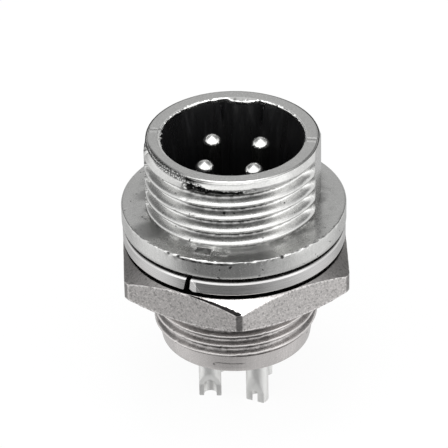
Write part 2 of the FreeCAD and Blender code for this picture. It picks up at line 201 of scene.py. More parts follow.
class Desk:
    """A node tree with one method for nodes and a few short words for the usual ones."""

    def __init__(self, tree):
        self.tree = tree

    def node(self, kind, settings=None, sockets=None):
        made = self.tree.nodes.new(kind)
        for name, value in (settings or {}).items():
            setattr(made, name, value)
        for name, value in (sockets or {}).items():
            if isinstance(value, Wire):
                self.tree.links.new(value.socket, made.inputs[name])
            else:
                made.inputs[name].default_value = value
        return made

    def out(self, made, name):
        return Wire(self, made.outputs[name])

    def maths(self, operation, *values):
        made = self.node("ShaderNodeMath", {"operation": operation}, dict(enumerate(values)))
        return self.out(made, 0)

    def ramp(self, value, start, end):
        """The value's way from start to end, as a smooth step from 0 to 1."""
        made = self.node("ShaderNodeMapRange", {"interpolation_type": "SMOOTHSTEP"},
                         {"Value": value, "From Min": start, "From Max": end})
        return self.out(made, "Result")

    def where(self, *ways):
        """1 where every value is past its end, 0 where one hasn't reached its start."""
        share = self.ramp(*ways[0])
        for way in ways[1:]:
            share = share * self.ramp(*way)
        return share

    def past(self, *ways):
        """As where, but each way is a value, an edge, and start and end in mm from the edge."""
        return self.where(*[(value, edge + start * MM, edge + end * MM)
                            for value, edge, start, end in ways])

    def vector(self, operation, *values):
        return self.node("ShaderNodeVectorMath", {"operation": operation}, dict(enumerate(values)))

    def along(self, place, direction):
        return self.out(self.vector("DOT_PRODUCT", place, tuple(direction)), "Value")

    def apart(self, place, spot):
        return self.out(self.vector("DISTANCE", place, tuple(spot)), "Value")

    def level(self, place):
        """The place with its height left out."""
        return self.out(self.vector("MULTIPLY", place, (1, 1, 0)), "Vector")

    def noise(self, place, scale, detail=3.0, roughness=0.5):
        made = self.node("ShaderNodeTexNoise", {},
                         {"Vector": place, "Scale": scale, "Detail": detail,
                          "Roughness": roughness})
        return self.out(made, "Fac")

    def stretched(self, place, scale):
        """The place with each axis scaled, for a grain that runs one way."""
        made = self.node("ShaderNodeMapping", {}, {"Vector": place, "Scale": scale})
        return self.out(made, "Vector")

    def blend(self, share, one, other):
        """One colour with a share of the other mixed in."""
        made = self.node("ShaderNodeMix", {"data_type": "RGBA"},
                         {"Factor": share, 6: one, 7: other})
        return self.out(made, 2)


# %% [markdown]
# ### The light tent
#
# The world's colour is worked out from the direction that a ray leaves in. Rays from the
# camera see white. All other rays, glossy ones too, see the tent, so the plating gets the
# bright and dark bands that make it look like metal. Upright faces mirror what lies low in
# front of the plug, so that zone sets how dark the middle of the flange's side is.

# %% Tent
TENT_WALL = 0.58
TENT_TOP = 0.95
TENT_SIDE = 0.42
TENT_FRONT = 0.85
TENT_LOW_DARK = 0.68
TENT_CORNER_DARK = 0.75
DARK_TURN = radians(-14)

world = bpy.data.worlds.new("light_tent")
bpy.context.scene.world = world
world.use_nodes = True
tent = Desk(world.node_tree)
direction = tent.out(tent.node("ShaderNodeTexCoord"), "Generated")
right = out_from_centre(CAMERA_AZIMUTH + pi / 2, 0)
front = out_from_centre(CAMERA_AZIMUTH, 0)
dark_front = out_from_centre(CAMERA_AZIMUTH + DARK_TURN, 0)
up_share = tent.along(direction, (0, 0, 1))
front_share = tent.along(direction, front)
dark_share = tent.along(direction, dark_front)
side_share = abs(tent.along(direction, right))
top_panel = tent.ramp(up_share, 0.62, 0.84)
side_panel = tent.ramp(side_share, 0.60, 0.90)
front_panel = tent.ramp(front_share, 0.15, 0.50) * tent.ramp(up_share, -0.20, 0.10)
low_front = tent.ramp(dark_share, 0.42, 0.78) * tent.ramp(up_share, -0.02, -0.35)
back_corner = tent.ramp(-0.50 * front_share + 0.50 * side_share + 0.70 * up_share, 0.80, 0.96)
level = TENT_WALL + TENT_TOP * top_panel + TENT_SIDE * side_panel + TENT_FRONT * front_panel
level = level * (1 - TENT_LOW_DARK * low_front) * (1 - TENT_CORNER_DARK * back_corner)
seen_by_camera = tent.out(tent.node("ShaderNodeLightPath"), "Is Camera Ray")
strength = seen_by_camera + (1 - seen_by_camera) * level
background = world.node_tree.nodes["Background"]
background.inputs["Color"].default_value = (1, 1, 1, 1)
world.node_tree.links.new(strength.socket, background.inputs["Strength"])
print("tent nodes:", len(world.node_tree.nodes))

# %% [markdown]
# ### Floor and lamp
#
# The floor is plain and pale and lies just under the solder cups. It glows a little for the
# camera, so that it runs into the white background, and keeps a faint soft shadow. It is left
# out of mirror images, because the tent already paints what lies under the plug there. One
# large soft lamp above gives the domed pins their highlights.

# %% Floor and lamp
FLOOR_SIZE = 600 * MM
FLOOR_DROP = 0.02 * MM
LAMP_SIZE = 60 * MM
LAMP_HEIGHT = 150 * MM
LAMP_WATTS = 0.05
GLOW_SHARE = 0.93


def new_material(name):
    """An empty node material and the desk for its tree."""
    material = bpy.data.materials.new(name)
    material.use_nodes = True
    return material, Desk(material.node_tree)


def dress(piece, material):
    piece.data.materials.clear()
    piece.data.materials.append(material)


quiet()
bpy.ops.mesh.primitive_plane_add(size=FLOOR_SIZE, location=(0, 0, cad_box[0].z - FLOOR_DROP))
floor = bpy.context.object
floor.name = "floor"
bpy.ops.object.transform_apply(location=True)
pale, desk = new_material("pale_floor")
pale.node_tree.nodes.clear()
glow = desk.node("ShaderNodeEmission", {}, {"Color": (1, 1, 1, 1), "Strength": 1.0})
matt = desk.node("ShaderNodeBsdfDiffuse", {}, {"Color": (0.9, 0.9, 0.9, 1)})
for_camera = desk.out(desk.node("ShaderNodeLightPath"), "Is Camera Ray") * GLOW_SHARE
both = desk.node("ShaderNodeMixShader", {}, {0: for_camera, 1: desk.out(matt, 0),
                                             2: desk.out(glow, 0)})
desk.node("ShaderNodeOutputMaterial", {}, {"Surface": desk.out(both, 0)})
dress(floor, pale)
floor.visible_glossy = False

quiet()
bpy.ops.object.light_add(type="AREA", location=(0, 0, LAMP_HEIGHT))
lamp = bpy.context.object
lamp.name = "overhead_lamp"
lamp.data.size = LAMP_SIZE
lamp.data.energy = LAMP_WATTS
print("floor at, mm:", round(floor.data.vertices[0].co.z / MM, 2))

# %% [markdown]
# ## Turning by hand
#
# Most pieces of the plug are turned or could be. Each starts as one point, which is extruded
# along half of the section, stretch by stretch, and then spun round the axis. Spinning leaves
# a seam and sometimes faces that point inwards, so the doubles are merged and the normals
# worked out again. A long stretch is drawn in equal steps where a thread is pressed into it
# later.

# %% Drawing a section and spinning it
STEPS = 360


def drawn_line(name, section):
    """A line of edges, in edit mode. Each corner is (radius, height, pieces of the way to it)."""
    quiet()
    bpy.ops.mesh.primitive_plane_add(size=MM)
    piece = bpy.context.object
    piece.name = piece.data.name = name
    places = [Vector((radius, 0, height)) for radius, height, pieces in section]
    bpy.ops.object.mode_set(mode="EDIT")
    bpy.ops.mesh.merge(type="CENTER")
    bpy.ops.transform.translate(value=places[0])
    for here, there, (radius, height, pieces) in zip(places, places[1:], section[1:]):
        for step in range(pieces):
            move = (there - here) / pieces
            bpy.ops.mesh.extrude_vertices_move(TRANSFORM_OT_translate={"value": move})
    bpy.ops.mesh.select_all(action="SELECT")
    return piece


def rows_at(radius, height, *rows, unit=MM):
    """Rows of a section, each given from one corner as (outwards, upwards, pieces)."""
    return [(radius + out * unit, height + up * unit, pieces) for out, up, pieces in rows]


def close_up():
    """Merges what a spin left double and turns all faces outwards, from edit mode."""
    bpy.ops.mesh.select_all(action="SELECT")
    bpy.ops.mesh.remove_doubles(threshold=TINY)
    bpy.ops.mesh.normals_make_consistent(inside=False)
    bpy.ops.object.mode_set(mode="OBJECT")


def turned(name, section, steps=STEPS):
    """A piece spun once round the axis from its section."""
    piece = drawn_line(name, section)
    bpy.ops.mesh.spin(steps=steps, angle=2 * pi, center=(0, 0, 0), axis=(0, 0, 1))
    close_up()
    return piece


def points_of(piece):
    """The piece's vertices as an array of x, y and z."""
    flat = np.empty(len(piece.data.vertices) * 3)
    piece.data.vertices.foreach_get("co", flat)
    return flat.reshape(-1, 3)


def radius_of(points):
    return np.hypot(points[:, 0], points[:, 1])


def angle_of(points):
    return np.arctan2(points[:, 1], points[:, 0])


def put_points(piece, points):
    piece.data.vertices.foreach_set("co", points.ravel())
    piece.data.update()


def smooth(piece, angle=35):
    """Smooth shading, with edges kept sharper than the angle."""
    pick(piece)
    bpy.ops.object.shade_smooth_by_angle(angle=radians(angle))


def report(piece):
    """Prints how many faces the piece has and how far it reaches."""
    faces = len(piece.data.polygons)
    low = [round(min(column) / MM, 2) for column in points_of(piece).T]
    high = [round(max(column) / MM, 2) for column in points_of(piece).T]
    print(f"{piece.name}: {faces} faces, from {low} to {high} mm")


# %% [markdown]
# ## Casting: the blank
#
# The casting is one piece on the real plug, so it is one mesh here: bore, rim, collar, flange,
# neck, rear thread and tail are one closed section. The rim has a fine crease round its flat
# face, where the mould's core met the collar. The band under it leans outwards, so that it
# mirrors the bright front of the tent and shines more than the flange's side.

# %% Section of the casting
FLANGE_TOP = 1.33 * MM
FLANGE_ROUND = 0.10 * MM
LIP_OPENING = 4.20 * MM
SEAT = SHELL_END + 0.80 * MM
KEY_END = RIM - 4.60 * MM
COLLAR_STEP = 0.05 * MM
REAR_STEP = 0.072 * MM
REAR_END = SHELL_END + 1.37 * MM
TAIL_RADIUS = REAR_RADIUS - 0.46 * MM
TAIL_ROUND = 0.12 * MM
NECK_RADIUS = 5.14 * MM
NECK_WIDTH = 0.40 * MM
RIM_FACE = RIM - 0.04 * MM
RIM_RADIUS = 5.78 * MM
BAND_FOOT = RIM - 0.53 * MM


def steps_for(length, step):
    return max(1, round(abs(length) / step))


casting_section = [
    (LIP_OPENING, SHELL_END, 1),
    (LIP_OPENING, SEAT, 1),
    (BORE, SEAT, 1),
    *rows_at(BORE, KEY_END, (0, -0.02, 1), (0, 0.02, 1)),
    *rows_at(BORE, RIM_FACE, (0, -0.14, 6), (0.02, -0.07, 1), (0.06, -0.02, 1), (0.11, 0, 1),
             (0.17, 0, 1)),
    *rows_at(RIM_RADIUS, RIM_FACE, (-0.14, 0, 8), (-0.09, -0.05, 1), (-0.05, -0.09, 1),
             (-0.02, -0.03, 1), (0, -0.05, 1)),
    (COLLAR_RADIUS, BAND_FOOT, 9),
    (COLLAR_RADIUS, FLANGE_TOP, steps_for(BAND_FOOT - FLANGE_TOP, COLLAR_STEP)),
    *rows_at(FLANGE_RADIUS, FLANGE_TOP, (-1, 0, 18), (-0.62, -0.08, 1), (-0.3, -0.3, 1),
             (-0.08, -0.62, 1), (0, -1, 1), unit=FLANGE_ROUND),
    *rows_at(FLANGE_RADIUS, 0, (0, 1, 6), (-0.3, 0.3, 1), (-1, 0, 1), unit=FLANGE_ROUND),
    (NECK_RADIUS, 0, 4),
    (NECK_RADIUS, -NECK_WIDTH, 2),
    (REAR_RADIUS, -2 * NECK_WIDTH, 4),
    (REAR_RADIUS, REAR_END, steps_for(REAR_END + 2 * NECK_WIDTH, REAR_STEP)),
    (REAR_RADIUS - 0.28 * MM, REAR_END, 1),
    (TAIL_RADIUS, SHELL_END + TAIL_ROUND, 5),
    *[(TAIL_RADIUS - TAIL_ROUND * (1 - cos(lean)),
       SHELL_END + TAIL_ROUND * (1 - sin(lean)), 1)
      for lean in (pi / 6, pi / 3, pi / 2)],
    (LIP_OPENING, SHELL_END, 1),
]
casting = turned("casting", casting_section)
report(casting)

# %% [markdown]
# ## Casting: threads, flats and key
#
# The coupling thread fades in at the flange and runs out through the rim at the left, and flats
# at the mould's parting line cross it at both sides. A screw modifier can't fade or stop at a
# flat, so the thread is pressed into the blank instead: each point of the collar moves inwards
# by the groove's depth at its own angle and height. A cast crest is no sharp land but a round
# one, so the groove's flanks bend over into it. The rear thread is pressed in the same way.

# %% Pressing a thread in
GROOVE_DEPTH = 0.52
GROOVE_FLOOR = 0.21
FLOOR_BEND = 0.05
FLANK_STEEPNESS = 1 / tan(radians(30))


def fade(value, start, end):
    """A smooth step from 0 at start to 1 at end."""
    share = np.clip((value - start) / (end - start), 0, 1)
    return share * share * (3 - 2 * share)


def groove(points, pitch, first_height, turns, fades, floor=GROOVE_FLOOR):
    """Depth of a right-hand groove at each point. It starts at -X and fades at both ends.

    The turns say where it starts and stops, the floor which share of the pitch is its floor.
    """
    x, y, z = points.T
    angle = np.mod(np.arctan2(y, x) - pi, 2 * pi) / (2 * pi)
    turn = (z - first_height) / pitch - angle
    nearest = np.round(turn)
    off_crest = 0.5 - np.abs(turn - nearest)
    bend = 1 - floor - 2 * GROOVE_DEPTH / FLANK_STEEPNESS
    round_part = FLANK_STEEPNESS / (2 * bend) * np.minimum(off_crest, bend) ** 2
    flank_part = FLANK_STEEPNESS * np.maximum(off_crest - bend, 0)
    full = round_part + flank_part
    depth = full - FLOOR_BEND * np.logaddexp(0, (full - GROOVE_DEPTH) / FLOOR_BEND)
    place = nearest + angle
    fade_in, fade_out = fades
    ends = fade(place, turns[0], turns[0] + fade_in)
    ends = ends * (1 - fade(place, turns[1] - fade_out, turns[1]))
    return pitch * depth * ends


def key_reach(points, radius, across):
    """Distance from the axis to the near side of the key's round, along each point's ray."""
    x, y, z = points.T
    lean = np.arctan2(x, y)
    inside = radius ** 2 - (across * np.sin(lean)) ** 2
    reach = across * np.cos(lean) - np.sqrt(np.maximum(inside, 0))
    return np.where((inside > 0) & (y > 0), reach, np.inf)


def move_to_radius(points, chosen, radius):
    """Sets the distance from the axis of the chosen points."""
    share = radius[chosen] / radius_of(points[chosen])
    points[chosen, 0] *= share
    points[chosen, 1] *= share


COUPLING_PITCH = 1.00 * MM
COUPLING_START = FLANGE_TOP + 0.515 * MM
COUPLING_TURNS = (-0.80, 4.26)
COUPLING_FADES = (0.45, 0.22)
RIGHT_FADE = (radians(11), radians(28))
LEFT_FADE = (radians(8), radians(18))
RUN_OUT_CLIMB = 0.16 * MM
REAR_PITCH = 0.75 * MM
REAR_FLOOR = 0.26
REAR_START = REAR_END - 0.30 * MM
FLAT = COLLAR_RADIUS - 0.23 * MM
FLAT_HALF = sqrt(COLLAR_RADIUS ** 2 - FLAT ** 2)
KEY_ROUND = 1.70 * MM
KEY_CENTRE = BORE + KEY_ROUND - 0.45 * MM
LINING_TOP = insulator_high.z

points = points_of(casting)
radius = radius_of(points)
height = points[:, 2].copy()
angle = angle_of(points)

# Coupling thread, with one shallow turn at the flange and a run-out through the rim
on_collar = (height > FLANGE_TOP - TINY) & (radius > RIM_RADIUS - TINY)
on_collar &= radius < COLLAR_RADIUS + TINY
climb = RUN_OUT_CLIMB * fade(height, RIM - 0.90 * MM, RIM - 0.45 * MM)
lowered = points - np.column_stack((0 * climb, 0 * climb, climb))
depth = groove(lowered, COUPLING_PITCH, COUPLING_START, COUPLING_TURNS, COUPLING_FADES)
depth *= 1 - 0.30 * fade(height, RIM - 0.70 * MM, RIM - 0.40 * MM)
depth *= fade(np.abs(angle), *RIGHT_FADE) * fade(pi - np.abs(angle), *LEFT_FADE)
move_to_radius(points, on_collar, radius - depth)

# Flats at both sides
beside = on_collar & (np.abs(points[:, 1]) < FLAT_HALF)
straight = FLAT / np.abs(np.cos(angle_of(points)))
flat_radius = np.minimum(straight, radius)
move_to_radius(points, beside, flat_radius)

# Rear thread, from the tail to the neck
on_rear = (height < -2 * NECK_WIDTH + TINY) & (height > REAR_END - TINY)
on_rear &= radius > REAR_RADIUS - TINY
rear_turns = (-2 * NECK_WIDTH - REAR_START) / REAR_PITCH
depth = groove(points, REAR_PITCH, REAR_START, (0.0, rear_turns + 1), (0.12, 0.2), REAR_FLOOR)
move_to_radius(points, on_rear, radius - depth)

# Key
in_bore = (radius < BORE + 0.12 * MM) & (height > KEY_END)
reach = key_reach(points, KEY_ROUND, KEY_CENTRE)
move_to_radius(points, in_bore & (reach < radius), reach + (radius - BORE))
put_points(casting, points)
report(casting)

# %% [markdown]
# ## Casting: what the mould left
#
# The real casting is rough where metal crept between the mould's halves: a torn flash stands
# along the back edge of the bore, the land over the first groove is torn away in front, and
# the flange's front edge is ragged. A thin line crosses the rim at both parting flats, and a
# small raised mark lies on the flange in front of the collar. Each is moved into the mesh by
# soft noise, because a bump alone would leave the outline clean.

# %% Flash, tears and marks
FLASH_MIDDLE = radians(112)
FLASH_REACH = radians(104)
FLASH_HEIGHT = 0.04 * MM
FRONT = radians(-81.2)
TEAR = (radians(-113), radians(-73))
TEAR_LOW = RIM - 1.15 * MM
TEAR_HIGH = RIM - 0.45 * MM
PAD_ANGLE = radians(-99.7)
PAD_RADIUS = 6.42 * MM
PAD_HALF_WIDTH = 0.64 * MM
PAD_HALF_LENGTH = 0.44 * MM
PAD_FRAME = 0.12 * MM
SMEAR_ANGLE = radians(-88.7)
RUN_OUT_ANGLE = radians(-139)
RUN_OUT_SHIFT = 2.5 * MM
RUN_OUT_RADIUS = RIM_RADIUS + RUN_OUT_SHIFT * cos(radians(29))
EDGE_PITS = (radians(-116.5), radians(-110.8), radians(-57.0))


def uneven(points, chosen, size, seed):
    """A soft random number of about -1 to 1 at each chosen point, in lumps of this size."""
    shift = Vector((seed, 0, 0))
    numbers = np.zeros(len(points))
    numbers[chosen] = [noise.noise(Vector(place) / size + shift) for place in points[chosen]]
    return numbers


def off(angle, middle):
    """The angle's distance from the middle, without the jump at half a turn."""
    return np.abs(np.mod(angle - middle + pi, 2 * pi) - pi)


points = points_of(casting)
radius = radius_of(points)
upper_part = points[:, 2] > FLANGE_TOP - 0.2 * MM
lumps = uneven(points, upper_part, 0.55 * MM, 3)
specks = uneven(points, upper_part, 0.16 * MM, 7)

# Flash along the back edge of the bore, thin in front
edge = (height > RIM_FACE - 0.10 * MM) & (height < RIM_FACE + TINY) & (radius < BORE + 0.16 * MM)
strong = 1 - fade(off(angle, FLASH_MIDDLE), FLASH_REACH * 0.75, FLASH_REACH)
ragged = np.clip(0.55 + 0.9 * lumps + 0.7 * specks, 0, 1) * (0.12 + 0.88 * strong)
points[edge, 2] += (ragged * FLASH_HEIGHT)[edge]
spikes = np.clip(3 * specks - 0.9, 0, 1) * strong
in_reach = (0.07 * ragged + 0.12 * spikes) * MM
move_to_radius(points, edge, radius_of(points) - in_reach)

# Parting lines across the rim
on_face = (height > RIM_FACE - 0.01 * MM) & (radius < RIM_RADIUS - 0.10 * MM)
for middle, behind in ((pi, -1), (0.0, 1)):
    line = on_face & (off(angle, middle) < radians(1.2))
    points[line, 2] += 0.03 * MM
    beside_line = on_face & (off(angle, middle + behind * radians(2.2)) < radians(0.9))
    points[beside_line, 2] -= 0.04 * MM

# The thread's run-out, a crescent cut into the rim's face at the left
crescent_centre = -RUN_OUT_SHIFT * np.array([cos(RUN_OUT_ANGLE), sin(RUN_OUT_ANGLE)])
into_crescent = np.hypot(*(points[:, :2] - crescent_centre).T) - RUN_OUT_RADIUS
on_rim = (height > RIM_FACE - 0.20 * MM) & (radius > BORE + 0.18 * MM)
sunk = np.clip(into_crescent, 0, 0.4 * MM) * 0.6
points[on_rim, 2] -= sunk[on_rim]

# Torn land over the first groove, lower towards its right end, with a few bits left standing
middle = sum(TEAR) / 2
ends = 1 - fade(off(angle, middle) + np.radians(4) * lumps, (TEAR[1] - TEAR[0]) * 0.44,
                (TEAR[1] - TEAR[0]) * 0.54)
upper = TEAR_HIGH - 0.24 * MM * fade(angle, *TEAR) + 0.05 * MM * lumps + 0.06 * MM * specks
torn = on_collar & (height > TEAR_LOW) & (height < upper)
left_standing = np.clip(4 * specks - 1.3, 0, 1)
floor_radius = COLLAR_RADIUS - (0.38 + 0.10 * lumps) * ends * (1 - 0.9 * left_standing) * MM
radius_now = radius_of(points)
move_to_radius(points, torn, np.minimum(radius_now, floor_radius))

# Sandy grooves, more at the lower front
in_groove = on_collar & (radius_now < COLLAR_RADIUS - 0.10 * MM) & ~torn
move_to_radius(points, in_groove, radius_now + specks * 0.012 * MM)
crest = on_collar & (radius_now > COLLAR_RADIUS - 0.06 * MM) & (height < BAND_FOOT) & ~torn
nicks = np.clip(lumps + 0.6 * specks - 0.45, 0, 1) * 0.14 * MM
move_to_radius(points, crest, radius_now - nicks)

# Ragged front edge of the flange
flange_edge = (height > FLANGE_TOP - FLANGE_ROUND - TINY) & (height < FLANGE_TOP + TINY)
flange_edge &= radius > FLANGE_RADIUS - FLANGE_ROUND - 0.02 * MM
in_front = 1 - fade(off(angle, FRONT), radians(52), radians(85))
jag = (0.6 * lumps + 1.0 * specks) * in_front
for pit in EDGE_PITS:
    jag -= 0.5 * (1 - fade(off(angle, pit), radians(0.6), radians(1.8)))
points[flange_edge, 2] += (jag * 0.06 * MM)[flange_edge]
jagged = np.minimum(radius_of(points) + jag * 0.06 * MM, FLANGE_RADIUS)
move_to_radius(points, flange_edge, jagged)

# Raised mark and small lumps on the flange in front of the collar
on_flange = (np.abs(height - FLANGE_TOP) < TINY) & (radius > COLLAR_RADIUS)
on_flange &= radius < FLANGE_RADIUS - FLANGE_ROUND - 0.02 * MM
pad_across = (angle - PAD_ANGLE) * radius
pad_along = radius - PAD_RADIUS
inset = np.minimum(PAD_HALF_WIDTH - np.abs(pad_across), PAD_HALF_LENGTH - np.abs(pad_along))
frame_share = fade(inset, -0.03 * MM, 0.05 * MM) * (1 - fade(inset, PAD_FRAME, PAD_FRAME * 1.7))
points[on_flange, 2] += (frame_share * 0.045 * MM)[on_flange]
smear = on_flange & (radius < 6.75 * MM) & (off(angle, SMEAR_ANGLE) < radians(5.2))
points[smear, 2] += (0.03 + 0.03 * specks[smear]) * MM
points[on_flange, 2] += (0.008 * lumps + 0.006 * specks)[on_flange] * in_front[on_flange] * MM

# Rear thread, roughly cast
rear_specks = uneven(points, on_rear, 0.20 * MM, 11)
rear_lumps = uneven(points, on_rear, 0.6 * MM, 13)
rear_nicks = np.clip(rear_lumps + 0.8 * rear_specks - 0.25, 0, 1) * 0.12 * MM
rear_radius = radius_of(points) + rear_specks * 0.014 * MM - rear_nicks
move_to_radius(points, on_rear, np.minimum(rear_radius, REAR_RADIUS))
points[:, 2] = np.minimum(points[:, 2], RIM)
put_points(casting, points)
smooth(casting, 80)
report(casting)

# %% [markdown]
# ## Insulator
#
# The insulator is one black moulding: a cup that lines the bore, a thick floor that holds the
# contacts, and a rib that makes room for the key. It is turned like the casting, and the rib
# is pressed in by the same round as the key.

# %% Insulator
CAVITY_FLOOR = RIM - 7.60 * MM
INSULATOR_END = insulator_low.z
LINING_WALL = INSULATOR_RADIUS - LINING_RADIUS
LINING_TAPER = 3.0 * MM
EDGE = 0.05 * MM
insulator_section = [
    (0, CAVITY_FLOOR, 1),
    *rows_at(LINING_RADIUS, CAVITY_FLOOR, (-0.3, 0, 3), (-0.08, 0.08, 2), (0, 0.3, 2)),
    (LINING_RADIUS, LINING_TOP - LINING_TAPER, 6),
    *rows_at(INSULATOR_RADIUS, LINING_TOP, (-1.2, -1, 10), (-1, 0, 1), (0, -1, 1), unit=EDGE),
    (INSULATOR_RADIUS, KEY_END, 4),
    (INSULATOR_RADIUS, KEY_END - 0.04 * MM, 1),
    (INSULATOR_RADIUS, SEAT, 2),
    (LIP_OPENING - 0.02 * MM, SEAT, 1),
    (LIP_OPENING - 0.02 * MM, INSULATOR_END + EDGE, 2),
    (LIP_OPENING - EDGE, INSULATOR_END, 1),
    (0, INSULATOR_END, 4),
]
insulator = turned("moulding", insulator_section, steps=240)
points = points_of(insulator)
radius = radius_of(points)
height = points[:, 2]
inside_cup = (radius > LINING_RADIUS - TINY) & (radius < INSULATOR_RADIUS - EDGE + TINY)
inside_cup &= height > CAVITY_FLOOR
reach = key_reach(points, KEY_ROUND + LINING_WALL, KEY_CENTRE)
move_to_radius(points, inside_cup & (reach < radius), reach + (radius - LINING_RADIUS))
outside_cup = (radius > INSULATOR_RADIUS - EDGE / 2) & (height > KEY_END - TINY)
reach = key_reach(points, KEY_ROUND + 0.02 * MM, KEY_CENTRE)
move_to_radius(points, outside_cup & (reach < radius), reach + (radius - INSULATOR_RADIUS))
put_points(insulator, points)
smooth(insulator, 40)
report(insulator)

# %% [markdown]
# ## Contacts
#
# A contact is one turned piece: a domed pin at the front and a solder cup at the rear, with one
# side of the cup cut away so that a wire can be laid in. One is turned on the axis and copied
# to four places, each copy with its own mesh. Each cup is then opened with a boolean cut, less
# deep at the fourth, the cut's edges are rounded, and its mouth is turned its own way.

# %% One contact
PIN_RADIUS = 0.62 * MM
CUP_RADIUS = 0.77 * MM
CUP_BORE = 0.45 * MM
CUP_DEPTH = 2.60 * MM
PIN_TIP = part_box("contact_pin_1")[1].z
CUP_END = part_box("contact_pin_1")[0].z
DOME_STEPS = 10
SHOULDER_LEAN = radians(20)
DOME_RADIUS = PIN_RADIUS / cos(SHOULDER_LEAN)
SHOULDER = PIN_TIP - DOME_RADIUS * (1 - sin(SHOULDER_LEAN))
leans = np.linspace(SHOULDER_LEAN, pi / 2, DOME_STEPS + 1)
dome = [(DOME_RADIUS * cos(lean), PIN_TIP - DOME_RADIUS * (1 - sin(lean)), 1)
        for lean in leans[1:]]
contact_section = [
    (0, CUP_END + CUP_DEPTH + 0.22 * MM, 1),
    (CUP_BORE, CUP_END + CUP_DEPTH, 2),
    *rows_at(CUP_BORE, CUP_END, (0, 0.03, 6), (0.03, 0, 1)),
    *rows_at(CUP_RADIUS, CUP_END, (-0.04, 0, 2), (0, 0.04, 1)),
    *rows_at(CUP_RADIUS, INSULATOR_END, (0, -0.05, 6), (-0.05, -0.005, 1)),
    *rows_at(PIN_RADIUS, INSULATOR_END, (0, -0.005, 1)),
    *rows_at(PIN_RADIUS, SHOULDER, (0, -0.04, 4), (-0.008, -0.01, 1)),
    *dome,
]
contact = turned("contact", contact_section, steps=64)
report(contact)

# %% Opening a cup
MOUTH = {"offset": 0.12 * MM, "length": 0.95 * MM, "slope": radians(63)}
SHALLOW_MOUTH = {"offset": 0.41 * MM, "length": 0.80 * MM, "slope": radians(75)}


def open_cup(piece, mouth):
    """Cuts the cup's -Y side away, steep at the top of the cut, and rounds the new edges."""
    quiet()
    bpy.ops.mesh.primitive_cube_add(size=1)
    cutter = bpy.context.object
    bpy.ops.object.mode_set(mode="EDIT")
    bpy.ops.transform.resize(value=(4 * CUP_RADIUS, 2 * CUP_RADIUS, 4 * MM))
    middle = (0, -mouth["offset"] - CUP_RADIUS, CUP_END + mouth["length"] - 2 * MM)
    bpy.ops.transform.translate(value=middle)
    bpy.ops.object.mode_set(mode="OBJECT")
    for corner in cutter.data.vertices:
        if corner.co.z > CUP_END and corner.co.y < -mouth["offset"] - CUP_RADIUS:
            corner.co.z += 2 * CUP_RADIUS * tan(mouth["slope"])
    pick(piece)
    opening = piece.modifiers.new("opening", "BOOLEAN")
    opening.operation = "DIFFERENCE"
    opening.object = cutter
    opening.solver = "EXACT"
    bpy.ops.object.modifier_apply(modifier="opening")
    rounding = piece.modifiers.new("rounding", "BEVEL")
    rounding.width = 0.03 * MM
    rounding.segments = 2
    rounding.limit_method = "ANGLE"
    rounding.angle_limit = radians(40)
    rounding.use_clamp_overlap = True
    bpy.ops.object.modifier_apply(modifier="rounding")
    bpy.data.objects.remove(cutter)


# %% Four contacts in their places
MOUTHS = ((50, MOUTH), (130, MOUTH), (-85, MOUTH), (-106, SHALLOW_MOUTH))
contacts = []
for place, (turn, mouth) in enumerate(MOUTHS, start=1):
    piece = contact.copy()
    piece.data = contact.data.copy()
    piece.name = piece.data.name = f"contact_{place}"
    bpy.context.scene.collection.objects.link(piece)
    open_cup(piece, mouth)
    cup = mounts[f"solder_cup_{place}"]["pos_m"]
    piece.rotation_euler.z = radians(turn + 90)
    piece.location = (cup[0], cup[1], 0)
    pick(piece)
    bpy.ops.object.transform_apply(location=True, rotation=True, scale=True)
    smooth(piece, 35)
    contacts.append(piece)
    report(piece)
bpy.data.objects.remove(contact)

# %% [markdown]
# ## Lock washer
#
# A split washer is a length of drawn wire, coiled and cut. Its section is drawn and filled, and
# spun almost all the way round, so that both cut ends come out closed. The ends then lean, as
# the cut on the real one does. The right end has lost its lower outer corner to a slanting cut,
# which leaves a flat three-sided face with a burr along its long edge.

# %% Washer
WASHER_INSIDE = REAR_RADIUS + 0.16 * MM
WASHER_EDGE = 0.08 * MM
SLOT_ANGLE = radians(-106.2)
SLOT_WIDTH = 0.34 * MM
SLOT_LEAN = tan(radians(13))
slot_half = SLOT_WIDTH / 2 / WASHER_RADIUS
washer_middle = (washer_low.z + washer_high.z) / 2

washer_outline = [
    *rows_at(WASHER_INSIDE, washer_low.z, (0, 1, 1), (1, 0, 1), unit=WASHER_EDGE),
    *rows_at(WASHER_RADIUS, washer_low.z, (-1, 0, 1), (-0.3, 0.3, 1), (0, 1, 1),
             unit=WASHER_EDGE),
    *rows_at(WASHER_RADIUS, washer_high.z, (0, -0.15, 1), (-0.065, -0.03, 1), (-0.12, 0, 1)),
    *rows_at(WASHER_INSIDE, washer_high.z, (1, 0, 1), (0, -1, 1), unit=WASHER_EDGE),
]
washer = drawn_line("split_washer", washer_outline + washer_outline[:1])
bpy.ops.mesh.remove_doubles(threshold=TINY)
bpy.ops.mesh.edge_face_add()
bpy.ops.transform.rotate(value=-(SLOT_ANGLE - slot_half), orient_axis="Z",
                         center_override=(0, 0, 0))
bpy.ops.mesh.spin(steps=300, angle=2 * pi - 2 * slot_half, center=(0, 0, 0), axis=(0, 0, 1))
close_up()
report(washer)

# %% Lean of the cut ends, and the slanting cut on the right one
FACET_WIDTH = 0.88 * MM
FACET_DEPTH = 0.24 * MM
FACET_OFFSET = 0.08 * MM
points = points_of(washer)
at_end = off(angle_of(points), SLOT_ANGLE) < slot_half * 1.01
shift = SLOT_LEAN * (points[:, 2] - washer_middle)
beside = level_direction(SLOT_ANGLE + pi / 2)
points[at_end, 0] += shift[at_end] * beside[0]
points[at_end, 1] += shift[at_end] * beside[1]
put_points(washer, points)

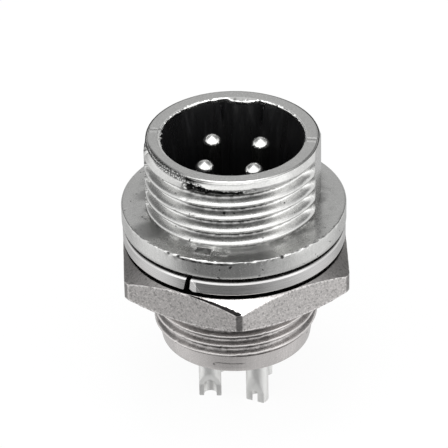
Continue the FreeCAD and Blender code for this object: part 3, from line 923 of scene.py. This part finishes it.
along = Vector(beside)
outwards = Vector(level_direction(SLOT_ANGLE))
top_corner = outwards * WASHER_RADIUS + along * (SLOT_WIDTH / 2 + FACET_OFFSET)
top_corner.z = washer_high.z
low_right = top_corner + along * FACET_WIDTH
low_right.z = washer_low.z
low_inside = top_corner - outwards * FACET_DEPTH - along * 0.2 * MM
low_inside.z = washer_low.z
facet_normal = (low_inside - top_corner).cross(low_right - top_corner).normalized()
pick(washer)
bpy.ops.object.mode_set(mode="EDIT")
bpy.ops.mesh.select_all(action="DESELECT")
bpy.ops.object.mode_set(mode="OBJECT")
for face in washer.data.polygons:
    middle = face.center
    turned_by = (atan2(middle.y, middle.x) - SLOT_ANGLE + pi) % (2 * pi)
    face.select = 0 < turned_by - pi < 3 * FACET_WIDTH / WASHER_RADIUS
bpy.ops.object.mode_set(mode="EDIT")
bpy.ops.mesh.bisect(plane_co=top_corner, plane_no=facet_normal, use_fill=True, clear_outer=True)
close_up()
smooth(washer, 12)
report(washer)

# %% [markdown]
# ## Hex nut
#
# The nut is turned as a ring with a threaded bore, and its outside is then pressed to six flats.
# Both faces are bevelled by a cone, which leaves a curved edge on each flat and a small triangle
# at each corner, and the corners themselves are blunt. The curved edges are left a little
# ragged by the tool that cut the bevel.

# %% Nut
NUT_BORE = REAR_RADIUS - 0.22 * MM
NUT_LEAD = 0.30 * MM
FLATS = WASHER_RADIUS
FACE_EDGE = FLATS - 0.05 * MM
NUT_TURN = radians(40.3)
BEVEL_LEAN = tan(radians(27))
BLUNT_CORNER = 8.54 * MM
BLUNT_TURN = radians(0.7)
NUT_DEPTH = 0.28 * MM
NUT_STEP = 0.062 * MM
NUT_BURR = 0.045 * MM
nut_middle = (nut_low.z + nut_high.z) / 2
bore_rows = steps_for(nut_high.z - nut_low.z - 2 * NUT_LEAD, NUT_STEP)
nut_section = [
    *rows_at(NUT_BORE, nut_low.z, (0, 1, 1), (1, 0, 3), unit=NUT_LEAD),
    (FACE_EDGE, nut_low.z, 3),
    (FLATS, nut_low.z, 8),
    (FLATS, nut_high.z, 12),
    (FACE_EDGE, nut_high.z, 8),
    *rows_at(NUT_BORE, nut_high.z, (1, 0, 3), (0, -1, 3), unit=NUT_LEAD),
    (NUT_BORE, nut_low.z + NUT_LEAD, bore_rows),
]
nut = turned("nut", nut_section)
points = points_of(nut)
radius = radius_of(points)
height = points[:, 2] - nut_middle
off_corner = np.mod(angle_of(points) - NUT_TURN + pi / 6, pi / 3) - pi / 6
off_flat = pi / 6 - np.abs(off_corner)
outer = np.minimum(FLATS / np.cos(off_flat), BLUNT_CORNER / np.cos(off_corner + BLUNT_TURN))
nut_half = (nut_high.z - nut_low.z) / 2
edge_half = nut_half - (outer - FACE_EDGE) * BEVEL_LEAN
on_bevel = (radius > FACE_EDGE + TINY) & (np.abs(height) > nut_half - TINY)
share = (radius - FACE_EDGE) / (FLATS - FACE_EDGE)
bevel_radius = FACE_EDGE + share * (outer - FACE_EDGE)
on_side = (radius > FLATS - TINY) & ~on_bevel
at_edge = (radius > FLATS - TINY) & on_bevel
points[on_side, 2] = (nut_middle + height / nut_half * edge_half)[on_side]
bevel_height = nut_middle + np.sign(height) * (nut_half - (bevel_radius - FACE_EDGE) * BEVEL_LEAN)
points[on_bevel, 2] = bevel_height[on_bevel]
move_to_radius(points, on_bevel, bevel_radius)
move_to_radius(points, on_side, outer)
burr = uneven(points, at_edge, 0.30 * MM, 17) + 0.5 * uneven(points, at_edge, 0.12 * MM, 19)
points[at_edge, 2] += (np.sign(height) * burr * NUT_BURR)[at_edge]
in_bore = radius < NUT_BORE + TINY
ridge_start = REAR_START + REAR_PITCH / 2 - 8 * REAR_PITCH
depth = groove(points, REAR_PITCH, ridge_start, (-9, 30), (0.1, 0.1))
nut_groove = depth * (NUT_DEPTH / (REAR_PITCH * GROOVE_DEPTH))
move_to_radius(points, in_bore, radius + nut_groove)
put_points(nut, points)
smooth(nut, 24)
report(nut)

# %% [markdown]
# ## Finishes
#
# Each finish starts from Object coordinates in metres. Fine noise is the grain of the plating,
# a slower noise its patches, and a third one with the height scaled down gives upright streaks
# from the tumbling and handling. Recesses are darkened with painted shade; they are found by
# their distance from the axis and their height.

# %% Help for finishes
def start_finish(name, metallic=1.0):
    """A new material with its desk, the place in Object coordinates, radius and height."""
    material, desk = new_material(name)
    material.node_tree.nodes["Principled BSDF"].inputs["Metallic"].default_value = metallic
    place = desk.out(desk.node("ShaderNodeTexCoord"), "Object")
    radius = desk.apart(desk.level(place), (0, 0, 0))
    return material, desk, place, radius, desk.along(place, (0, 0, 1))


def end_finish(material, tint, tone, roughness, height, depth, strength=0.7):
    """Joins the shader: a tint times a grey tone, roughness, and bump from a height of 0 to 1."""
    desk = Desk(material.node_tree)
    shader = desk.tree.nodes["Principled BSDF"]
    tinted = desk.node("ShaderNodeVectorMath", {"operation": "SCALE"}, {0: tint, "Scale": tone})
    bump = desk.node("ShaderNodeBump", {}, {"Height": height, "Distance": depth,
                                            "Strength": strength})
    for name, wire in (("Base Color", desk.out(tinted, "Vector")), ("Roughness", roughness),
                       ("Normal", desk.out(bump, "Normal"))):
        desk.tree.links.new(wire.socket, shader.inputs[name])


# %% [markdown]
# ### Plated casting
#
# Satin nickel over cast zinc: soft grey with a fine sandy grain, rougher in the grooves, and
# with small dark pits where the cast skin is broken. Painted shade darkens the grooves, a thin
# line under each crest, the rim's crease, the line beside each parting line and the rear
# thread's crests in front, and painted black shade lies under the flange, on the torn land and
# under the flange's front edge. Painted light makes the side grooves and the tail paler, and
# the flash and the raised marks are brighter, partly as bare metal and partly as painted
# highlight. Each mark gets its own mask from its place, and at the end all masks darken one tone.

# %% Plated casting
satin, desk, place, radius, height = start_finish("satin_plating")
grain = desk.noise(place, 9000, 4.0, 0.65)
sand = desk.ramp(grain, 0.36, 0.64)
patches = desk.noise(place, 900, 3.0, 0.55)
blotches = desk.ramp(desk.noise(place, 2400, 3.0, 0.6), 0.40, 0.60)
streaks = desk.noise(desk.stretched(place, (5200, 5200, 260)), 1.0, 3.0, 0.6)
lines = desk.noise(desk.stretched(place, (260, 260, 9000)), 1.0, 3.0, 0.6)
across = desk.along(place, (1, 0, 0))
back = desk.along(place, (0, 1, 0))
turn_share = desk.maths("ARCTAN2", back, across) / (2 * pi) + 0.5


def thread_place(start, pitch):
    """Place within a turn: 0 at the groove's middle, half a turn at the crests beside it."""
    turn = (height - start) / pitch - turn_share + 0.10 * (blotches - 0.5)
    return turn - desk.maths("ROUND", turn)


def near(angle, radius, height, reach):
    """1 at a place on the casting, falling to 0 at the reach."""
    spot = (radius * cos(angle), radius * sin(angle), height)
    return desk.ramp(desk.apart(place, spot), reach, reach * 0.4)


def faces(degrees):
    """The cosine of the turn from this direction, so 1 where the surface faces it."""
    return desk.along(place, level_direction(radians(degrees))) / radius


# %% Plated casting: painted shade in the threads
in_front = desk.ramp(faces(-88), 0.76, 0.96)
in_collar = desk.past((height, FLANGE_TOP, 0.04, 0.16), (height, RIM_FACE, -0.10, -0.16),
                      (radius, BORE, 0.15, 0.20), (abs(across), FLAT, -0.01, -0.04))
in_rear = desk.past((height, 0, -0.75, -0.90), (height, REAR_END, -0.05, 0.08))
collar_depth = desk.past((radius, COLLAR_RADIUS, -0.05, -0.40))
rear_depth = desk.past((radius, REAR_RADIUS, -0.03, -0.26))
# Painted shade in the grooves, heavier in front; the same mask also sets how coarse their grain
# is.
groove_shade = in_collar * collar_depth * (0.08 + 0.58 * in_front)
groove_shade = groove_shade + in_rear * rear_depth * (0.40 + 0.30 * in_front)
groove_shade = groove_shade * (0.80 + 0.36 * blotches)
collar_place = thread_place(COUPLING_START, COUPLING_PITCH)
rear_place = thread_place(REAR_START, REAR_PITCH)
# Painted shadow: a thin dark line under each crest, heavier in front.
shadow_under_collar_crest = desk.where((collar_place, -0.05, 0.02), (collar_place, 0.49, 0.44))
shadow_under_rear_crest = desk.where((rear_place, -0.02, 0.05), (rear_place, 0.48, 0.42))
below_band = desk.past((height, BAND_FOOT, -0.12, -0.20))
shadow_under_crest = in_collar * below_band * shadow_under_collar_crest + in_rear * shadow_under_rear_crest
shadow_under_crest = shadow_under_crest * (0.30 + 0.45 * in_front) * (0.7 + 0.5 * blotches)

# %% Plated casting: painted shade in torn, creased and sunk places, and stains and pits
# Painted black shadow on the torn land's floor, under its lip.
torn_shadow = in_collar * desk.past(
    (radius, COLLAR_RADIUS, -0.08, -0.18), (height, TEAR_LOW, 0.05, 0.15), (back, 0, -1.0, -3.5),
    (across, 0, 1.9, 1.4), (across, 0, -2.6, -2.2))
# Painted black shade on the flange's underside.
shade_under_flange = desk.past((height, 0, 0.004, -0.004), (height, 0, -0.03, -0.02))
# Painted shade in the fine crease round the rim's face.
crease = desk.past((abs(radius - (RIM_RADIUS - 0.055 * MM)), 0, 0.055, 0.02),
                   (height, RIM_FACE, -0.12, -0.10), (height, RIM_FACE, -0.012, -0.03))
# Painted shade in the sunk line beside each parting line on the rim.
seam_shade = desk.past((abs(back - 0.21 * MM), 0, 0.12, 0.05), (height, RIM_FACE, -0.08, -0.05))
on_flange = desk.past((height, FLANGE_TOP, 0.14, 0.09), (height, FLANGE_TOP, -0.05, -0.01))
stain = desk.past((radius, COLLAR_RADIUS, 1.2, 0)) * desk.ramp(patches, 0.38, 0.62)
front_stain = desk.ramp(faces(-76), 0.93, 0.99)
left_stain = near(radians(-139), 6.6 * MM, FLANGE_TOP, 1.5 * MM)
stain = on_flange * desk.maths("MAXIMUM", stain * 0.5, 0.5 * front_stain + 0.6 * left_stain)
pits = desk.where((desk.noise(place, 2600, 2.0, 0.5), 0.68, 0.73), (patches, 0.42, 0.60))
pits = pits * desk.past((height, RIM, -0.10, -0.20))
for pit in EDGE_PITS:
    pits = desk.maths("MAXIMUM", pits, near(pit, FLANGE_RADIUS, FLANGE_TOP - 0.05 * MM, 0.20 * MM))

# %% Plated casting: dark lines of the run-out, painted shade under the flange's edge, and the tail's scratch
into_run_out = desk.apart(desk.level(place), (*crescent_centre, 0)) - RUN_OUT_RADIUS
run_out = desk.ramp(grain, 0.38, 0.56) * desk.past(
    (into_run_out, 0, 0, 0.05), (into_run_out, 0, 0.36, 0.24), (height, RIM, -0.55, -0.45),
    (radius, BORE, 0, 0.2))
off_scratch = abs(height + 8.48 * MM + 0.3 * (patches - 0.5) * MM)
scratch = desk.past((off_scratch, 0, 0.07, 0.02)) * desk.ramp(faces(-87), 0.975, 0.99)
# Painted shade in a thin line under the flange's rounded front edge.
below_edge = abs(height - (FLANGE_TOP - 0.15 * MM))
shade_under_edge = desk.past((below_edge, 0, 0.10, 0.05), (radius, FLANGE_RADIUS, -0.1, -0.02))
shade_under_edge = shade_under_edge * desk.ramp(faces(-97), 0.955, 0.975) * (0.45 + 0.55 * blotches)

# %% Plated casting: bare metal and painted highlights on the flash and the raised marks
flash = desk.past((radius, BORE, 0.17, 0.11), (height, RIM_FACE, -0.16, -0.08),
                  (desk.along(place, level_direction(FLASH_MIDDLE)), 0, -2.5, -0.5))
pad_across = abs(desk.along(place, level_direction(PAD_ANGLE + pi / 2)))
pad_along = abs(desk.along(place, level_direction(PAD_ANGLE)) - PAD_RADIUS)
inset = desk.maths("MINIMUM", PAD_HALF_WIDTH - pad_across, PAD_HALF_LENGTH - pad_along)
pad = on_flange * desk.past((inset, 0, -0.03, 0.03))
pad_inside = pad * desk.ramp(inset, PAD_FRAME * 0.9, PAD_FRAME * 1.3)
smear = on_flange * near(SMEAR_ANGLE, 6.45 * MM, FLANGE_TOP, 0.75 * MM) * blotches
# Brighter tone on the flash, the mark's frame and the smear: partly bare metal, partly painted
# highlight on raised edges.
bare_and_highlight = desk.maths("MAXIMUM", flash, (pad - pad_inside) * (0.7 + 0.5 * blotches) + 0.9 * smear)

# %% Plated casting: tone, roughness and bump
CLEAN_TONE = 0.66


def left_by(*covers):
    """What share of the metal shows when each cover takes its own share."""
    shows = 1 - covers[0]
    for cover in covers[1:]:
        shows = shows * (1 - cover)
    return shows


dark = 1 - left_by(groove_shade * 0.95, 0.75 * crease, shadow_under_crest, stain * (1 - bare_and_highlight),
                   0.5 * seam_shade, pad_inside * (0.50 + 0.4 * blotches))
black = left_by(0.97 * shade_under_flange, 0.96 * torn_shadow, 0.92 * pits, 0.85 * run_out,
                0.95 * shade_under_edge, 0.6 * scratch)
sandy = 0.07 + 0.22 * (groove_shade + on_flange * in_front * 0.5)
clean = CLEAN_TONE + sandy * (sand - 0.5) + 0.10 * (patches - 0.5) + 0.14 * (streaks - 0.5)
# Painted light: the collar's grooves away from the front are made paler.
clean = clean + 0.28 * in_collar * collar_depth * (1 - in_front)
# Painted shade on the rear thread's crests in front.
clean = clean - 0.20 * in_rear * (1 - rear_depth) * in_front
# Painted light on the tail, as a floor's bounce would give.
clean = clean + 0.14 * desk.past((height, REAR_END, 0.05, -0.05))
tone = (clean + 0.28 * bare_and_highlight) * (1 - 0.86 * dark) * black
warm = desk.blend(desk.past((height, 0, -0.4, -0.8)), (1, 1, 0.985, 1), (1, 0.96, 0.945, 1))
rough = 0.25 + 0.14 * (grain - 0.5) + 0.10 * (streaks - 0.5) + 0.16 * dark
skin = grain * (0.35 + 1.2 * groove_shade + 0.5 * on_flange * in_front)
end_finish(satin, warm, tone, rough, skin + 0.25 * streaks + 0.25 * lines, 0.012 * MM)
dress(casting, satin)

# %% [markdown]
# ### Plated nut
#
# The nut's sides are sawn or cast dull: a coarse speckled grain, a little warm in colour, with
# bright and dark specks, while the bevels are turned and nearly smooth. The faces next to the
# washer and the casting are painted in deep shade, a painted highlight runs along the curved
# bevel edges, and painted shade lies on the bevel over the front left flat.

# %% Plated nut
grained, desk, place, radius, height = start_finish("grained_plating")
grain = desk.noise(place, 8500, 4.0, 0.7)
specks = desk.noise(place, 6000, 4.0, 0.7)
patches = desk.noise(place, 700, 3.0, 0.5)
cone = BEVEL_LEAN * (radius - FACE_EDGE)
upper_bevel = desk.past((cone + height, nut_high.z, -0.03, -0.01))
lower_bevel = desk.past((cone - height, -nut_low.z, -0.03, -0.01))
bevel = desk.maths("MAXIMUM", upper_bevel, lower_bevel)
shade = desk.past((height, nut_high.z, -0.012, -0.004), (radius, FACE_EDGE, -0.01, -0.05))
# Painted shade in the nut's bore.
inside = desk.past((radius, NUT_BORE, 0.45, 0.30))
bright_specks = desk.ramp(grain, 0.50, 0.62)
dark_specks = desk.ramp(specks, 0.50, 0.36)
side_tone = 0.60 + 0.22 * bright_specks - 0.28 * dark_specks + 0.16 * (patches - 0.5)
bevel_tone = 0.66 + 0.10 * bright_specks - 0.20 * dark_specks
tone = side_tone + bevel * (bevel_tone - side_tone)
# Painted highlight along the curved bevel edges, broken by specks.
edge_highlight = desk.past((abs(height - nut_middle) + cone, nut_half, -0.16, -0.08))
edge_highlight = edge_highlight * desk.ramp(specks, 0.42, 0.54) * (1 - bevel)
tone = tone + 0.30 * edge_highlight
blunt = 0.0
for corner in range(3):
    facing = level_direction(NUT_TURN - BLUNT_TURN + corner * pi / 3)
    reach = abs(desk.along(place, facing))
    blunt = blunt + desk.past((reach, BLUNT_CORNER, -0.025, -0.008))

# %% Plated nut: painted shade on the bevel over the front left flat, wider towards the corner
LEFT_FLAT = NUT_TURN - radians(150)
to_corner = desk.along(place, level_direction(LEFT_FLAT + pi / 2))
inside_flat = FLATS - desk.along(place, level_direction(LEFT_FLAT))
left_flat_shade_width = 0.07 * to_corner * (0.3 + 1.3 * specks)
left_flat_shade = upper_bevel * desk.past((inside_flat - left_flat_shade_width, 0, 0.03, 0),
                                    (to_corner, 0, 0.2, 0.9), (to_corner, 0, 4.45, 4.30))

# %% Plated nut: colour, roughness and bump
# Painted shade on the bevel over the front left flat.
tone = tone * (1 - 0.99 * left_flat_shade)
tone = tone * (1 - 0.95 * shade) * (1 - 0.6 * inside) * (1 - 0.55 * blunt * (1 - bevel))
side_rough = 0.40 + 0.20 * (specks - 0.5)
rough = side_rough + bevel * (0.24 - side_rough)
skin = (grain * 0.6 + specks * 0.4) * (1 - 0.75 * bevel)
end_finish(grained, (1.0, 0.965, 0.95), tone, rough, skin, 0.03 * MM)
dress(nut, grained)

# %% [markdown]
# ### Drawn steel
#
# The washer's wire was drawn through a die, which leaves fine lines along it. The slanting cut
# beside the slot is cleaner than the rest, with a painted highlight along its burr, and painted
# shade darkens the slot's depth and the underside.

# %% Drawn steel
drawn, desk, place, radius, height = start_finish("drawn_steel")
lines = desk.noise(desk.stretched(place, (300, 300, 11000)), 1.0, 3.0, 0.6)
grain = desk.noise(place, 8000, 3.0, 0.6)
shade = desk.past((radius, WASHER_RADIUS, -0.07, -0.12), (height, washer_low.z, 0.02, 0.008))
off_facet = desk.along(place, facet_normal) - facet_normal.dot(top_corner)
beside_slot = desk.along(place, along)
# Painted shade in the slot's depth, below the top face.
slot_shade = desk.past((radius, WASHER_RADIUS, -0.35, -0.8), (height, washer_high.z, 0, -0.02))
slot_shade = slot_shade * desk.ramp(abs(beside_slot), SLOT_WIDTH, SLOT_WIDTH * 0.9)
near_slot = desk.past((beside_slot, 0, -0.1, 0), (beside_slot, 0, 1.2, 1.0),
                      (desk.along(place, outwards), 0, 0, 3))
facet = near_slot * desk.past((off_facet, 0, -0.008, -0.002))
# Painted highlight along the burr of the slanting cut.
burr_highlight = near_slot * desk.past((off_facet, 0, -0.035, -0.02)) * (1 - facet)
tone = 0.62 + 0.26 * (lines - 0.5) + 0.10 * (grain - 0.5) + 0.10 * facet + 0.35 * burr_highlight
tone = tone * (1 - 0.96 * shade) * (1 - 0.8 * slot_shade)
rough = 0.27 + 0.14 * (lines - 0.5)
end_finish(drawn, (1.0, 0.99, 0.985), tone, rough, lines * 0.7 + grain * 0.3, 0.006 * MM)
dress(washer, drawn)

# %% [markdown]
# ### Silver plating
#
# The pins are polished by the mating socket, and the solder cups are dull and pale.

# %% Silver plating
silver, desk, place, radius, height = start_finish("silver_plating")
grain = desk.noise(place, 6000, 4.0, 0.6)
patches = desk.noise(desk.stretched(place, (2500, 2500, 500)), 1.0, 3.0, 0.5)
on_cup = desk.past((height, SHELL_END, 0.5, -0.2))
in_shade = desk.past((height, SHOULDER, -0.02, -0.08)) * (1 - on_cup)
tone = (0.92 + 0.08 * (grain - 0.5) + 0.14 * (patches - 0.5) * on_cup) * (1 - 0.7 * in_shade)
rough = 0.24 + 0.06 * (grain - 0.5) + 0.20 * on_cup
end_finish(silver, (1.0, 1.0, 0.985), tone, rough, grain * 0.4 + patches * 0.6, 0.004 * MM)
for piece in contacts:
    dress(piece, silver)

# %% [markdown]
# ### Black moulding
#
# A glossy black resin. The core of the mould was drawn out along the axis, so the wall of the
# cup has faint upright streaks in its gloss and bump, and lighter upright streaks painted into
# its tone stand for a reflection sheen.

# %% Black moulding
black, desk, place, radius, height = start_finish("glossy_black_moulding", metallic=0.0)
black_shader = black.node_tree.nodes["Principled BSDF"]
black_shader.inputs["Specular IOR Level"].default_value = 0.32
streaks = desk.noise(desk.stretched(place, (2600, 2600, 60)), 1.0, 4.0, 0.65)
grain = desk.noise(place, 6000, 3.0, 0.6)
# Lighter upright streaks in the tone: a painted reflection sheen.
tone = 0.006 + 0.010 * desk.ramp(streaks, 0.50, 0.75) + 0.002 * grain
rough = 0.30 + 0.30 * (streaks - 0.5)
end_finish(black, (1.0, 1.0, 1.06), tone, rough, streaks, 0.006 * MM, 0.5)
dress(insulator, black)

# %% [markdown]
# ## Which node each piece stands for
#
# Each piece rides on its body, so that it moves with the joint, and takes the place of its node.

# %% Riding and replacing
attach(casting, "plug")
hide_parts("shell")
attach(insulator, "plug")
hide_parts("insulator")
for place, piece in enumerate(contacts, start=1):
    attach(piece, "plug")
    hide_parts(f"contact_pin_{place}")
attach(washer, "washer")
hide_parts("lock_washer")
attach(nut, "nut")
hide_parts("hex_nut")
